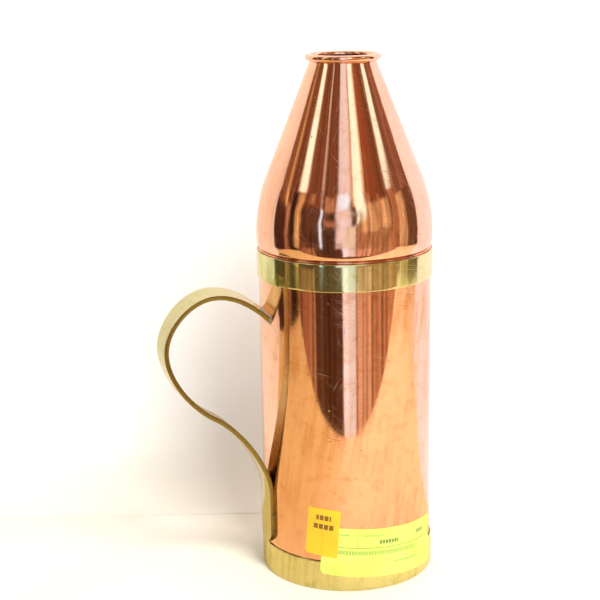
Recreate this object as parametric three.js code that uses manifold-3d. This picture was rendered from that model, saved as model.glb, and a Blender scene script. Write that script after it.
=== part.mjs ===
// A copper and brass growler: a round copper vessel with a brass strap handle, closed by a lift-off
// copper cone whose open neck ends in a wired, rolled rim.
// Millimetres, +Z up. The origin is the centre of the underside, and the handle points along -X.
import * as THREE from 'three';
import { mergeVertices } from 'three/addons/utils/BufferGeometryUtils.js';
import Module from 'manifold-3d';

const wasm = await Module();
wasm.setup();

// Driving dimensions
const AROUND = 48; // facets round every turned piece, all starting at the same angle
const BODY_R = 47.5;
const BODY_WALL = 0.9;
const BODY_H = 183.6;
const BORE_R = BODY_R - BODY_WALL;
const FIT_GAP = 0.05; // between turned pieces that touch on the real object
const CUT_GAP = 0.3; // between a piece and the neighbour that it is cut to fit

const BAND_R = 48.5; // outer radius of both brass bands
const BASE_BAND_TOP = 16.65;
const COLLAR_BOTTOM = 168.7;
const BAND_EDGE = 0.3; // rounding of a band's outer edges

const PAN_THICKNESS = 0.9;
const PAN_FLANGE_H = 10;
const PAN_CORNER_R = 2.4;
const PAN_R = BORE_R - 0.1;

const CONE_SHEET = 0.7;
const HEM_R = 2.4; // radius at which the cone's lower edge turns in
const HEM_CENTRE = new THREE.Vector2(45.47, 186.73);
const CONE_WIDEST = new THREE.Vector2(48.41, 194.83);
const CONE_START = new THREE.Vector2(43.25, 221.83); // the straight flank runs from here
const CONE_END = new THREE.Vector2(18.62, 283.5); // to here
const RIM_CENTRE = new THREE.Vector2(18.77, 287.1);
const CURL_R = 1.1; // inner radius of the rolled rim
const WIRE_R = 0.95;

const SPIGOT_R = BORE_R - 0.1; // sliding fit in the vessel's bore
const SPIGOT_SHEET = 0.8;
const SPIGOT_BOTTOM = 168.6;
const SPIGOT_NECK_R = 46.05; // where the spigot passes inside the hem
const SPIGOT_TOP = 192;
const STOP_BEAD_R = 0.37;
const STOP_BEAD_CENTRE = new THREE.Vector2(46.75, BODY_H + FIT_GAP + STOP_BEAD_R);

const STRAP_THICKNESS = 2.6;
const STRAP_ROOT_WIDTH = 14.7;
const STRAP_WAIST_WIDTH = 12.4;
const STRAP_TWIST = 8; // degrees by which its upper part leans over to one side
const TAB_WIDTH = 13.9;
const TAB_TIP_Z = 18.05;
const STRAP_CUT_R = BODY_R + 0.1; // everything of the handle stays outside this
const TAB_R = STRAP_CUT_R + STRAP_THICKNESS / 2; // centre of the strap's thickness on the body
const HUG_FROM_Z = 72; // the strap's section starts to curve round the body here
const HUG_FULL_Z = 47;
const ROOT_HUG_R = 60; // and, by its root, inside this radius

const PAPER = 0.15;
const LABEL_GAP = 0.08; // under the label
const STICKER_GAP = 0.2; // between the label and the sticker
const PAPER_LIFT = 3.2; // height above the base band at which a paper leaves the band's level
const PAPER_REACH = 4; // height over which it comes down on to the tube
const VIEW_SIDE = -111.8; // degrees round from +X: the middle of the side that faces forward

const degrees = (value) => THREE.MathUtils.degToRad(value);
const point = (x, y) => new THREE.Vector2(x, y);
const steps = (count) => Array.from({ length: count + 1 }, (_, i) => i / count);

// ---- materials -------------------------------------------------------------------------------
const metal = (color, roughness) =>
  new THREE.MeshStandardMaterial({ color, roughness, metalness: 1 });
const paper = (color) => new THREE.MeshStandardMaterial({ color, roughness: 0.75, metalness: 0 });
const COPPER = metal(0xe09a72, 0.14);
const INNER_COPPER = metal(0xc47a55, 0.35);
const BRASS = metal(0xd8c878, 0.18);
const SOLDER = metal(0xb9bcc0, 0.42);
const STEEL = metal(0xa8a8a8, 0.35);
const ORANGE_PAPER = paper(0xf7c21c);
const GREEN_PAPER = paper(0xe2f56c);

// ---- solids ----------------------------------------------------------------------------------

// Drops everything but merged positions, and turns the faces outward.
function closed(geometry) {
  geometry.deleteAttribute('normal');
  geometry.deleteAttribute('uv');
  const merged = mergeVertices(geometry, 1e-4);
  const p = merged.attributes.position;
  const index = merged.index.array;
  const [a, b, c] = [new THREE.Vector3(), new THREE.Vector3(), new THREE.Vector3()];
  const kept = [];
  let volume = 0;
  for (let i = 0; i < index.length; i += 3) {
    const [u, v, w] = [index[i], index[i + 1], index[i + 2]];
    if (u === v || v === w || w === u) continue;
    kept.push(u, v, w);
    a.fromBufferAttribute(p, u);
    b.fromBufferAttribute(p, v);
    c.fromBufferAttribute(p, w);
    volume += a.dot(b.cross(c));
  }
  merged.setIndex(volume > 0 ? kept : kept.reverse());
  return merged;
}

// A closed outline of (radius, height) points turned round the vertical axis.
function turned(outline) {
  const loop = [...outline, outline[0]];
  const geometry = new THREE.LatheGeometry(loop, AROUND);
  geometry.rotateX(Math.PI / 2);
  return closed(geometry);
}

// Points along a chain of curves, each given with the number of steps it needs.
function along(chain) {
  const points = [chain[0][0].getPoint(0)];
  for (const [curve, count] of chain) {
    for (const t of steps(count).slice(1)) {
      points.push(curve.getPoint(t));
    }
  }
  return points;
}

// The unit normal on the left of a line of points, at each point.
function leftNormals(points) {
  const ways = points.slice(1).map((p, i) => p.clone().sub(points[i]).normalize());
  return points.map((_, i) => {
    const way = (ways[i - 1] ?? ways[i]).clone().add(ways[i] ?? ways[i - 1]).normalize();
    return point(-way.y, way.x);
  });
}

// The outline of a bent sheet whose right-hand face follows the points.
function sheet(points, thickness) {
  const normals = leftNormals(points);
  const back = points.map((p, i) => p.clone().addScaledVector(normals[i], thickness));
  return [...points, ...back.reverse()];
}

const arc = (centre, radius, from, to, clockwise = false) =>
  new THREE.EllipseCurve(centre.x, centre.y, radius, radius, degrees(from), degrees(to), clockwise);
const bezier = (...points) => new THREE.CubicBezierCurve(...points);

// A box of the unit cube, divided as given, with each corner moved to place(u, v, w), where u, v
// and w run from 0 to 1.
function bent(divisions, place) {
  const geometry = new THREE.BoxGeometry(1, 1, 1, ...divisions);
  const p = geometry.attributes.position;
  for (let i = 0; i < p.count; i += 1) {
    const spot = place(p.getX(i) + 0.5, p.getY(i) + 0.5, p.getZ(i) + 0.5);
    p.setXYZ(i, spot.x, spot.y, spot.z);
  }
  return closed(geometry);
}

// The place at a radius, an angle in radians from +X, and a height.
const onCylinder = (radius, angle, z) =>
  new THREE.Vector3(radius * Math.cos(angle), radius * Math.sin(angle), z);

function toSolid(geometry) {
  const mesh = new wasm.Mesh({
    numProp: 3,
    vertProperties: new Float32Array(geometry.attributes.position.array),
    triVerts: new Uint32Array(geometry.index.array),
  });
  return new wasm.Manifold(mesh);
}

function fromSolid(solid) {
  const { vertProperties, triVerts } = solid.getMesh();
  const geometry = new THREE.BufferGeometry();
  geometry.setAttribute('position', new THREE.BufferAttribute(vertProperties, 3));
  geometry.setIndex(new THREE.BufferAttribute(triVerts, 1));
  return geometry;
}

// An upright cylinder on the vessel's axis, taller than the vessel's wall.
function axisCylinder(radius) {
  const geometry = new THREE.CylinderGeometry(radius, radius, BODY_H, AROUND * 2);
  geometry.rotateX(Math.PI / 2);
  geometry.translate(0, 0, BODY_H / 2);
  return toSolid(closed(geometry));
}

// ---- the vessel ------------------------------------------------------------------------------

function bodyTube() {
  return turned([
    point(BORE_R, 0),
    point(BODY_R, 0),
    point(BODY_R, BODY_H),
    point(BORE_R, BODY_H),
  ]);
}

// A brass band round the tube, with its two outer edges rounded.
function band(bottom, top) {
  const inner = BODY_R + FIT_GAP;
  const side = BAND_R - BAND_EDGE;
  return turned([
    point(inner, bottom),
    ...arc(point(side, bottom + BAND_EDGE), BAND_EDGE, -90, 0).getPoints(2),
    ...arc(point(side, top - BAND_EDGE), BAND_EDGE, 0, 90).getPoints(2),
    point(inner, top),
  ]);
}

// The floor is a shallow pan pushed up into the tube, flange upward, flush with its lower edge.
function floorPan() {
  const centre = point(PAN_R - PAN_CORNER_R, PAN_CORNER_R);
  const inside = PAN_CORNER_R - PAN_THICKNESS;
  return turned([
    point(0, 0),
    ...arc(centre, PAN_CORNER_R, -90, 0).getPoints(4),
    point(PAN_R, PAN_FLANGE_H),
    point(PAN_R - PAN_THICKNESS, PAN_FLANGE_H),
    ...arc(centre, inside, 0, -90, true).getPoints(4),
    point(0, PAN_THICKNESS),
  ]);
}

// A fillet of solder on top of the pan's flange, against the tube's bore.
function floorSolder() {
  const foot = PAN_FLANGE_H + FIT_GAP;
  const leg = PAN_THICKNESS;
  const wall = PAN_R;
  const hollow = new THREE.QuadraticBezierCurve(
    point(wall, foot + 2 * leg),
    point(wall - leg * 0.3, foot + leg * 0.3),
    point(wall - leg, foot),
  );
  return turned([point(wall, foot), ...hollow.getPoints(3)]);
}

// The tube is rolled from sheet: its seam is a thin line of solder on the inside, behind the
// handle, and is dressed flush where the cone's spigot slides in.
function sideSeamSolder() {
  const bottom = PAN_FLANGE_H + 3;
  const top = SPIGOT_BOTTOM - 1.5;
  const radius = BORE_R * Math.cos(Math.PI / AROUND) - FIT_GAP;
  const halfAngle = 3 / BORE_R;
  return bent([2, 1, 1], (u, v, w) =>
    onCylinder(radius - 0.3 * w, Math.PI + halfAngle * (2 * u - 1), bottom + (top - bottom) * v));
}

// ---- the handle ------------------------------------------------------------------------------

// The strap's centreline in the upright plane of the handle, as (distance from axis, height):
// out of the body, over the top, down round the hand, and back in an S to lie flat on the body.
function strapCentreline() {
  const leave = point(50.06, 151.7);
  const top = point(77.8, 164.7);
  const outermost = point(105.95, 136.1);
  const waist = point(79.78, 96.15);
  const landing = point(TAB_R, 47.75);
  const tipCentre = point(TAB_R, TAB_TIP_Z + TAB_WIDTH / 2);
  const upward = point(Math.cos(degrees(43)), Math.sin(degrees(43)));
  const inward = point(Math.cos(degrees(-149.6)), Math.sin(degrees(-149.6)));
  const from = (start, way, length) => start.clone().addScaledVector(way, length);
  const [right, up] = [point(1, 0), point(0, 1)];
  const root = from(leave, upward, -10); // inside the vessel, where it is cut off
  const curves = [
    [new THREE.LineCurve(root, leave), 1],
    [bezier(leave, from(leave, upward, 9.6), from(top, right, -11.4), top), 8],
    [bezier(top, from(top, right, 14.6), from(outermost, up, 13.3), outermost), 10],
    [bezier(outermost, from(outermost, up, -15.8), from(waist, inward, -13.54), waist), 10],
    [bezier(waist, from(waist, inward, 15.57), from(landing, up, 17.54), landing), 9],
    [new THREE.LineCurve(landing, tipCentre), 3],
  ];
  // The rounded tip closes in even steps of angle, and stops just short of a point.
  const tip = steps(6).slice(1).map((t) => {
    const drop = Math.sin(t * degrees(84)) * (TAB_WIDTH / 2);
    return point(TAB_R, tipCentre.y - drop);
  });
  return [...along(curves), ...tip];
}

// The strap tapers from its root to its outermost part, and widens again towards the tab.
function strapWidth(share, spot) {
  const narrowest = 0.4; // share of its length
  const tipCentreZ = TAB_TIP_Z + TAB_WIDTH / 2;
  if (spot.x < TAB_R + 0.01 && spot.y < tipCentreZ) {
    return 2 * Math.sqrt((TAB_WIDTH / 2) ** 2 - (tipCentreZ - spot.y) ** 2);
  }
  return share < narrowest
    ? THREE.MathUtils.mapLinear(share, 0, narrowest, STRAP_ROOT_WIDTH, STRAP_WAIST_WIDTH)
    : THREE.MathUtils.mapLinear(share, narrowest, 1, STRAP_WAIST_WIDTH, TAB_WIDTH);
}

// How far the strap's section curves round the body, from 0 to 1: fully at its root and its tab.
function strapHug(spot) {
  const { smoothstep } = THREE.MathUtils;
  return spot.y > HUG_FROM_Z
    ? 1 - smoothstep(spot.x, STRAP_CUT_R, ROOT_HUG_R)
    : 1 - smoothstep(spot.y, HUG_FULL_Z, HUG_FROM_Z);
}

// The strap, grown all round by a margin.
function strapSolid(margin) {
  const line = strapCentreline();
  const normals = leftNormals(line);
  const lengths = line.map((p, i) => (i ? p.distanceTo(line[i - 1]) : 0));
  const total = lengths.reduce((sum, length) => sum + length);
  let run = 0;
  const shares = lengths.map((length) => {
    run += length;
    return run / total;
  });
  const across = 4;
  const strap = bent([1, across, line.length - 1], (u, v, w) => {
    const i = Math.round(w * (line.length - 1));
    const spot = line[i];
    const growth = i === line.length - 1 ? -margin : 0;
    const width = strapWidth(shares[i], spot) + 2 * margin;
    const twist = degrees(STRAP_TWIST) * (1 - THREE.MathUtils.smoothstep(shares[i], 0.2, 0.45));
    const section = point((v - 0.5) * width, (u - 0.5) * (STRAP_THICKNESS + 2 * margin));
    const { x: side, y: offset } = section.rotateAround(point(0, 0), twist);
    const radius = spot.x + normals[i].x * offset;
    const height = spot.y + normals[i].y * offset + growth;
    const flat = new THREE.Vector3(-radius, side, height);
    const wrapped = onCylinder(radius, Math.PI - side / radius, height);
    return flat.lerp(wrapped, strapHug(spot));
  });
  return toSolid(strap);
}

function handleStrap() {
  return fromSolid(strapSolid(0).subtract(axisCylinder(STRAP_CUT_R)));
}

// A line of solder round the strap where it meets the body, between two heights.
function solderRound(reach, thickness, bottom, top) {
  const window = new THREE.BoxGeometry(2 * BODY_R, 2 * BODY_R, top - bottom);
  window.translate(-BODY_R, 0, (top + bottom) / 2);
  const shell = axisCylinder(STRAP_CUT_R + thickness).subtract(axisCylinder(STRAP_CUT_R));
  const line = strapSolid(reach)
    .intersect(shell)
    .intersect(toSolid(closed(window)))
    .subtract(strapSolid(CUT_GAP / 2));
  return fromSolid(line);
}

const handleTopSolder = () => solderRound(1.3, 1.1, HUG_FROM_Z, BODY_H);
const handleTabSolder = () => solderRound(1.1, 0.65, TAB_TIP_Z - 3, HUG_FULL_Z - 5);

// ---- paper labels ----------------------------------------------------------------------------

// A thin rounded rectangle bent round the vessel. Its middle is at an angle right of the forward
// side, in degrees, and a height; a tilt turns it clockwise. skin(z) is the radius it lies on.
function roundedPatch({ width, height, corner, angle, z, tilt, skin, columns, rows }) {
  const cornerSteps = 3;
  const bend = (t) => corner * (1 - Math.cos((t * Math.PI) / 2));
  const left = steps(cornerSteps).map((t) => bend(t) - width / 2);
  const middle = steps(columns).slice(1, -1).map((t) => (t - 0.5) * (width - 2 * corner));
  const across = [...left, ...middle, ...left.map((x) => -x).reverse()];
  return bent([across.length - 1, rows, 1], (u, v, w) => {
    const x = across[Math.round(u * (across.length - 1))];
    const into = Math.max(0, Math.abs(x) - (width / 2 - corner));
    const lost = corner - Math.sqrt(Math.max(0.02, corner ** 2 - into ** 2));
    const y = (v - 0.5) * (height - 2 * lost);
    const turn = degrees(-tilt);
    const away = x * Math.cos(turn) - y * Math.sin(turn);
    const level = z + x * Math.sin(turn) + y * Math.cos(turn);
    return onCylinder(skin(level) + w * PAPER, degrees(VIEW_SIDE + angle) + away / BODY_R, level);
  });
}

// The radius of the surface under the papers: they bridge the step from the base band to the tube.
function paperSkin(z) {
  const leaves = BASE_BAND_TOP + PAPER_LIFT;
  const step = (BAND_R - BODY_R) * (1 - THREE.MathUtils.smoothstep(z, leaves, leaves + PAPER_REACH));
  return BODY_R + LABEL_GAP + step;
}

function stockLabel() {
  const place = { angle: 26, z: 20.9, tilt: 4.2, skin: paperSkin };
  return roundedPatch({ width: 74, height: 27.4, corner: 3, ...place, columns: 13, rows: 16 });
}

// The small sticker overlaps the label's upper corner, so it lies clear of the label's face.
function lotSticker() {
  const place = { angle: -18, z: 33.6, tilt: 4.9, skin: (z) => paperSkin(z) + PAPER + STICKER_GAP };
  return roundedPatch({ width: 18.4, height: 27.4, corner: 1.2, ...place, columns: 5, rows: 14 });
}

// ---- the lift-off top ------------------------------------------------------------------------

function coneTop() {
  const hemTop = 8; // degrees by which the wall leans in where the hem begins
  const hem = arc(HEM_CENTRE, HEM_R, -65, -hemTop);
  const hemEnd = hem.getPoint(1);
  const lean = point(Math.sin(degrees(hemTop)), Math.cos(degrees(hemTop)));
  const skirt = bezier(
    hemEnd,
    hemEnd.clone().addScaledVector(lean, 3.2),
    point(CONE_WIDEST.x, CONE_WIDEST.y - 3.2),
    CONE_WIDEST,
  );
  const slope = (CONE_START.x - CONE_END.x) / (CONE_END.y - CONE_START.y);
  const shoulderCorner = point(CONE_WIDEST.x, CONE_START.y - (CONE_WIDEST.x - CONE_START.x) / slope);
  const shoulder = bezier(
    CONE_WIDEST,
    CONE_WIDEST.clone().lerp(shoulderCorner, 0.55),
    CONE_START.clone().lerp(shoulderCorner, 0.55),
    CONE_START,
  );
  const neckStart = point(RIM_CENTRE.x - CURL_R, RIM_CENTRE.y);
  const neckCorner = point(neckStart.x, CONE_END.y + (CONE_END.x - neckStart.x) / slope);
  const neck = bezier(
    CONE_END,
    CONE_END.clone().lerp(neckCorner, 0.6),
    neckStart.clone().lerp(neckCorner, 0.6),
    neckStart,
  );
  const curl = arc(RIM_CENTRE, CURL_R, 180, -110, true);
  const flank = new THREE.LineCurve(CONE_START, CONE_END);
  const chain = [[hem, 3], [skirt, 2], [shoulder, 5], [flank, 1], [neck, 2], [curl, 9]];
  return turned(sheet(along(chain), CONE_SHEET));
}

// The wire that the rim is rolled round.
function rimWire() {
  const ring = new THREE.TorusGeometry(RIM_CENTRE.x, WIRE_R, 8, AROUND);
  ring.translate(0, 0, RIM_CENTRE.y);
  return closed(ring);
}

// A ring inside the cone's hem that slides into the vessel, with a bead that stops on its edge.
function spigotSleeve() {
  const bead = arc(STOP_BEAD_CENTRE, STOP_BEAD_R, -90, 90).getPoints(4);
  const inside = SPIGOT_R - SPIGOT_SHEET;
  const neckInside = SPIGOT_NECK_R - SPIGOT_SHEET;
  return turned([
    point(SPIGOT_R - 0.3, SPIGOT_BOTTOM),
    point(SPIGOT_R, SPIGOT_BOTTOM + 1),
    point(SPIGOT_R, STOP_BEAD_CENTRE.y - STOP_BEAD_R),
    ...bead,
    point(SPIGOT_NECK_R, STOP_BEAD_CENTRE.y + STOP_BEAD_R),
    point(SPIGOT_NECK_R, SPIGOT_TOP),
    point(neckInside, SPIGOT_TOP),
    point(neckInside, BODY_H + 0.4),
    point(inside, BODY_H - 1),
    point(inside, SPIGOT_BOTTOM),
  ]);
}

// The fillet of solder that joins the spigot to the inside of the hem.
function spigotSolder() {
  const wall = SPIGOT_NECK_R + FIT_GAP;
  const hollow = new THREE.QuadraticBezierCurve(point(46.78, 186), point(46.3, 186.5), point(wall, 187.8));
  return turned([point(wall, 185.5), point(46.45, 185.6), ...hollow.getPoints(3)]);
}

// ---- the assembly ----------------------------------------------------------------------------

const growler = new THREE.Group();
const vessel = new THREE.Group();
const top = new THREE.Group();
growler.add(vessel, top);

function addPiece(group, name, geometry, material) {
  const mesh = new THREE.Mesh(geometry, material);
  mesh.name = name;
  group.add(mesh);
}

addPiece(vessel, 'body_tube', bodyTube(), COPPER);
addPiece(vessel, 'side_seam_solder', sideSeamSolder(), SOLDER);
addPiece(vessel, 'floor_pan', floorPan(), INNER_COPPER);
addPiece(vessel, 'floor_solder', floorSolder(), SOLDER);
addPiece(vessel, 'base_band', band(0, BASE_BAND_TOP), BRASS);
addPiece(vessel, 'collar_band', band(COLLAR_BOTTOM, BODY_H), BRASS);
addPiece(vessel, 'handle_strap', handleStrap(), BRASS);
addPiece(vessel, 'handle_top_solder', handleTopSolder(), SOLDER);
addPiece(vessel, 'handle_tab_solder', handleTabSolder(), SOLDER);
addPiece(vessel, 'stock_label', stockLabel(), GREEN_PAPER);
addPiece(vessel, 'lot_sticker', lotSticker(), ORANGE_PAPER);
addPiece(top, 'cone_top', coneTop(), COPPER);
addPiece(top, 'rim_wire', rimWire(), STEEL);
addPiece(top, 'spigot_sleeve', spigotSleeve(), INNER_COPPER);
addPiece(top, 'spigot_solder', spigotSolder(), SOLDER);

export default growler;
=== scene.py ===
import math

import bmesh
import bpy
import numpy as np
from mathutils import Matrix, Vector


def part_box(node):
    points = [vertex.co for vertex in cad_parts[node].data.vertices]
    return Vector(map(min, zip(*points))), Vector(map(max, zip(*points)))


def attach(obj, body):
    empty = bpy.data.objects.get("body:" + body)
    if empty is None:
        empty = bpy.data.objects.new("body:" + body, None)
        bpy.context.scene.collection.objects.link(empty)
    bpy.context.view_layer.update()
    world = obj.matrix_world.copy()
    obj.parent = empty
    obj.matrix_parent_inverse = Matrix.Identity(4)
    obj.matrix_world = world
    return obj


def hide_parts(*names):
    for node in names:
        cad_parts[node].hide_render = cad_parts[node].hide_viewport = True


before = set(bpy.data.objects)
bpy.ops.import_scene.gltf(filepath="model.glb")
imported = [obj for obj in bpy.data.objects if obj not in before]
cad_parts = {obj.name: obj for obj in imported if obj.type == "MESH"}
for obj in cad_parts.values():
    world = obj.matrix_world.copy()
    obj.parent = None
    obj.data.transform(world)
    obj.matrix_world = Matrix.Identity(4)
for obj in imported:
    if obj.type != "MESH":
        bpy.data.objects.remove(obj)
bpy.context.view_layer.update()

# ---- sizes, in metres: most are read from the frame ----
MM = 0.001
AROUND = 288                      # points round every turned piece
CLEARANCE = 0.05 * MM             # a hair's gap or overlap where pieces meet

BODY_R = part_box("body_tube")[1].x
BODY_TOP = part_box("body_tube")[1].z
BODY_WALL = 0.9 * MM
BORE_R = BODY_R - BODY_WALL
BAND_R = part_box("base_band")[1].x
BASE_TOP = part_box("base_band")[1].z
COLLAR_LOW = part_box("collar_band")[0].z
COLLAR_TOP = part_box("collar_band")[1].z
PAN_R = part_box("floor_pan")[1].x
PAN_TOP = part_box("floor_pan")[1].z
PAN_SHEET = 0.9 * MM
CONE_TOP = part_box("cone_top")[1].z
CONE_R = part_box("cone_top")[1].x
CONE_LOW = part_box("cone_top")[0].z
CONE_SHEET = 0.7 * MM
WIRE_LOW, WIRE_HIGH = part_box("rim_wire")
WIRE_R = (WIRE_HIGH.z - WIRE_LOW.z) / 2
WIRE_CENTRE = (WIRE_HIGH.x - WIRE_R, (WIRE_HIGH.z + WIRE_LOW.z) / 2)
SPIGOT_LOW, SPIGOT_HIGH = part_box("spigot_sleeve")
SPIGOT_NECK = 46.05 * MM          # the outer radius of its upper part, inside the hem
SPIGOT_SOLDER_FOOT = 185.6 * MM
STRAP_LOW, STRAP_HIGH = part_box("handle_strap")
STRAP_THICK = 2.6 * MM
STRAP_EDGE = 0.32 * MM            # how far its edges are rounded
ROOT_WIDTH = 14.7 * MM
TAB_WIDTH = 13.9 * MM
STRAP_TWIST = math.radians(8)

# ---- the camera and the room ----
CAMERA_PLACE = Vector((-0.3093, -0.7060, 0.3444))
CAMERA_YAW = -21.8                # degrees round from looking along +Y
CAMERA_PITCH = -13.925
CAMERA_ROLL = -0.926
CAMERA_LENS = 85.5                # mm
CAMERA_SENSOR = 36.0              # mm
TABLE_FRONT = 0.300               # how far the metal sees the table reach from the vessel's axis
TABLE_LEFT = 0.565
TABLE_RIGHT = 0.77
BOARD_BEHIND = 0.145              # from the vessel's axis to the white board

# ---- outlines ----


def arc(centre, radius, start, end, count):
    """Points on an arc in an outline's plane, from one angle in degrees to another."""
    angles = np.radians(np.linspace(start, end, count))
    return np.stack([centre[0] + radius * np.cos(angles), centre[1] + radius * np.sin(angles)], -1)


def heading(angle):
    """A direction in an outline's plane, from an angle in degrees."""
    return arc((0, 0), 1, angle, angle, 1)[0]


def polar(radius, angle, height):
    """Places at a distance from the vessel's axis, an angle round it in radians and a height."""
    return np.stack([radius * np.cos(angle), radius * np.sin(angle), height], -1)


def bezier(a, b, c, d, count):
    """Points on a cubic Bezier curve."""
    a, b, c, d = (np.array(p, float) for p in (a, b, c, d))
    t = np.linspace(0, 1, count)[:, None]
    return (1 - t) ** 3 * a + 3 * (1 - t) ** 2 * t * b + 3 * (1 - t) * t * t * c + t ** 3 * d


def line(a, b, count=2):
    return np.linspace(np.array(a, float), np.array(b, float), count)


def rounded(start, corner, end, pull, count):
    """Points on a curve from start to end that is pulled part of the way into the corner."""
    start, corner, end = (np.array(p, float) for p in (start, corner, end))
    return bezier(start, start + (corner - start) * pull, end + (corner - end) * pull, end, count)


def chain(*stretches):
    """Stretches of an outline joined into one, without repeating the points where they meet."""
    points = [np.array(stretches[0], float)]
    for stretch in stretches[1:]:
        stretch = np.array(stretch, float)
        if np.linalg.norm(stretch[0] - points[-1][-1]) < 1e-7:
            stretch = stretch[1:]
        points.append(stretch)
    return np.concatenate(points)


def left_normals(points):
    ways = np.diff(points, axis=0)
    ways /= np.linalg.norm(ways, axis=1)[:, None]
    both = np.concatenate([ways[:1], ways]) + np.concatenate([ways, ways[-1:]])
    both /= np.linalg.norm(both, axis=1)[:, None]
    return np.stack([-both[:, 1], both[:, 0]], -1)


def run_along(points):
    """How far along a path each of its points is."""
    return np.concatenate([[0], np.cumsum(np.linalg.norm(np.diff(points, axis=0), axis=1))])


def turn_between(start, end):
    """The shorter way round from one angle to another."""
    return np.angle(np.exp(1j * (end - start)))


def smooth(value, low, high):
    t = np.clip((value - low) / (high - low), 0, 1)
    return t * t * (3 - 2 * t)


def sheet(points, thickness):
    """The closed outline of a bent sheet whose right-hand face follows the points."""
    back = points + left_normals(points) * thickness
    return np.concatenate([points, back[::-1]])


# ---- meshes ----


def link_new(name, data):
    """A new object in the scene."""
    made = bpy.data.objects.new(name, data)
    bpy.context.scene.collection.objects.link(made)
    return made


def make_object(name, vertices, faces, sharp=40.0, dull_and_shade=None):
    """A smooth-shaded object from vertices and faces, with sharp edges above an angle in degrees.
    Its last argument gives, vertex by vertex, how far the surface is darkened and roughened, from 0 to 1:
    as unpolished metal, and as painted shade."""
    mesh = bpy.data.meshes.new(name)
    mesh.from_pydata([tuple(v) for v in vertices], [], [tuple(f) for f in faces])
    if dull_and_shade is not None:
        mesh.attributes.new("dull_and_shade", "FLOAT", "POINT").data.foreach_set("value", dull_and_shade)
    tidy = bmesh.new()
    tidy.from_mesh(mesh)
    bmesh.ops.remove_doubles(tidy, verts=tidy.verts, dist=1e-7)
    bmesh.ops.recalc_face_normals(tidy, faces=tidy.faces)
    tidy.to_mesh(mesh)
    tidy.free()
    mesh.shade_smooth()
    mesh.set_sharp_from_angle(angle=math.radians(sharp))
    return link_new(name, mesh)


def grid_faces(rows, columns, wrap_rows, wrap_columns):
    """Quads over a grid of rows by columns of vertices, numbered row by row."""
    faces = []
    for i in range(rows if wrap_rows else rows - 1):
        for j in range(columns if wrap_columns else columns - 1):
            k, m = (i + 1) % rows, (j + 1) % columns
            faces.append((i * columns + j, i * columns + m, k * columns + m, k * columns + j))
    return faces


def turned(name, outline, relief=None, sharp=40.0):
    """A closed outline of (radius, height) points turned round the vertical axis. relief gives how
    far each point stands proud of its radius, from its angle, radius and height."""
    outline = np.array(outline, float)
    angles = np.linspace(0, 2 * math.pi, AROUND, endpoint=False)
    angle, radius = np.meshgrid(angles, outline[:, 0], indexing="ij")
    height = np.broadcast_to(outline[:, 1], radius.shape)
    if relief is not None:
        radius = radius + relief(angle, radius, height)
    vertices = polar(radius, angle, height).reshape(-1, 3)
    return make_object(name, vertices, grid_faces(AROUND, len(outline), True, True), sharp)


def waves(seed, size, lobes, pitch, count=7):
    """A gentle unevenness over a turned surface: waves with whole numbers of lobes round it."""
    draw = np.random.default_rng(seed)
    terms = []
    for _ in range(count):
        terms.append((draw.integers(1, lobes), draw.uniform(0.3, 1) * 2 * math.pi / pitch,
                      draw.uniform(0, 2 * math.pi), draw.uniform(0.4, 1) * draw.choice([-1, 1])))

    def relief(angle, radius, height):
        total = sum(share * np.sin(number * angle + rate * height + phase)
                    for number, rate, phase, share in terms)
        return size * total / count
    return relief


def dent(angle_at, height_at, wide, tall, depth):
    """A soft dent at an angle in degrees and a height."""
    def relief(angle, radius, height):
        turn = turn_between(math.radians(angle_at), angle)
        return -depth * np.exp(-((turn * BODY_R / wide) ** 2) - ((height - height_at) / tall) ** 2)
    return relief


def together(*reliefs):
    return lambda angle, radius, height: sum(r(angle, radius, height) for r in reliefs)


def piece(obj, body, slot, material, *nodes):
    """Gives a finished mesh its material and its body, and hides the CAD nodes it stands for. slot is not
    used.
    """
    obj.data.materials.clear()
    obj.data.materials.append(material)
    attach(obj, body)
    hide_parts(*nodes)


# ---- material nodes ----


def node(tree, kind, inputs=None, **settings):
    """Adds a shader node. inputs maps an input's name or number to a value or another socket."""
    made = tree.nodes.new("ShaderNode" + kind)
    for key, value in settings.items():
        setattr(made, key, value)
    for key, value in (inputs or {}).items():
        socket = made.inputs[key]
        if isinstance(value, bpy.types.NodeSocket):
            tree.links.new(value, socket)
        else:
            socket.default_value = value
    return made


def calc(tree, operation, *values):
    return node(tree, "Math", dict(enumerate(values)), operation=operation).outputs[0]


def product(tree, a, b):
    return calc(tree, "MULTIPLY", a, b)


def blend(tree, factor, a, b):
    """A colour between a and b, each a colour of three numbers or another node's socket."""
    a, b = ((*colour, 1) if isinstance(colour, tuple) else colour for colour in (a, b))
    return node(tree, "Mix", {0: factor, 6: a, 7: b}, data_type="RGBA").outputs[2]


def times(tree, a, b):
    """Two colours multiplied."""
    return node(tree, "VectorMath", {0: a, 1: b}, operation="MULTIPLY").outputs[0]


def between(tree, value, low, high, out_low=0.0, out_high=1.0):
    """value, moved smoothly from one range to another and held at its ends."""
    made = node(tree, "MapRange", {0: value, 1: low, 2: high, 3: out_low, 4: out_high},
                interpolation_type="SMOOTHSTEP")
    return made.outputs[0]


def inside(tree, value, low, high, soft):
    """1 where value lies between low and high and 0 elsewhere, with soft edges."""
    away = calc(tree, "ABSOLUTE", calc(tree, "SUBTRACT", value, (low + high) / 2))
    half = (high - low) / 2
    return between(tree, away, half - soft, half + soft, 1.0, 0.0)


def noise(tree, vector, scale, detail=3.0, roughness=0.5):
    made = node(tree, "TexNoise", {"Vector": vector, "Scale": scale, "Detail": detail,
                                   "Roughness": roughness})
    return made.outputs[0]


def stretched(tree, vector, scale, turn=0.0):
    """vector turned about its third axis by degrees, then scaled along each axis."""
    turned_vector = node(tree, "Mapping", {"Vector": vector, "Rotation": (0, 0, math.radians(turn))})
    return node(tree, "Mapping", {"Vector": turned_vector.outputs[0], "Scale": scale}).outputs[0]


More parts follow.
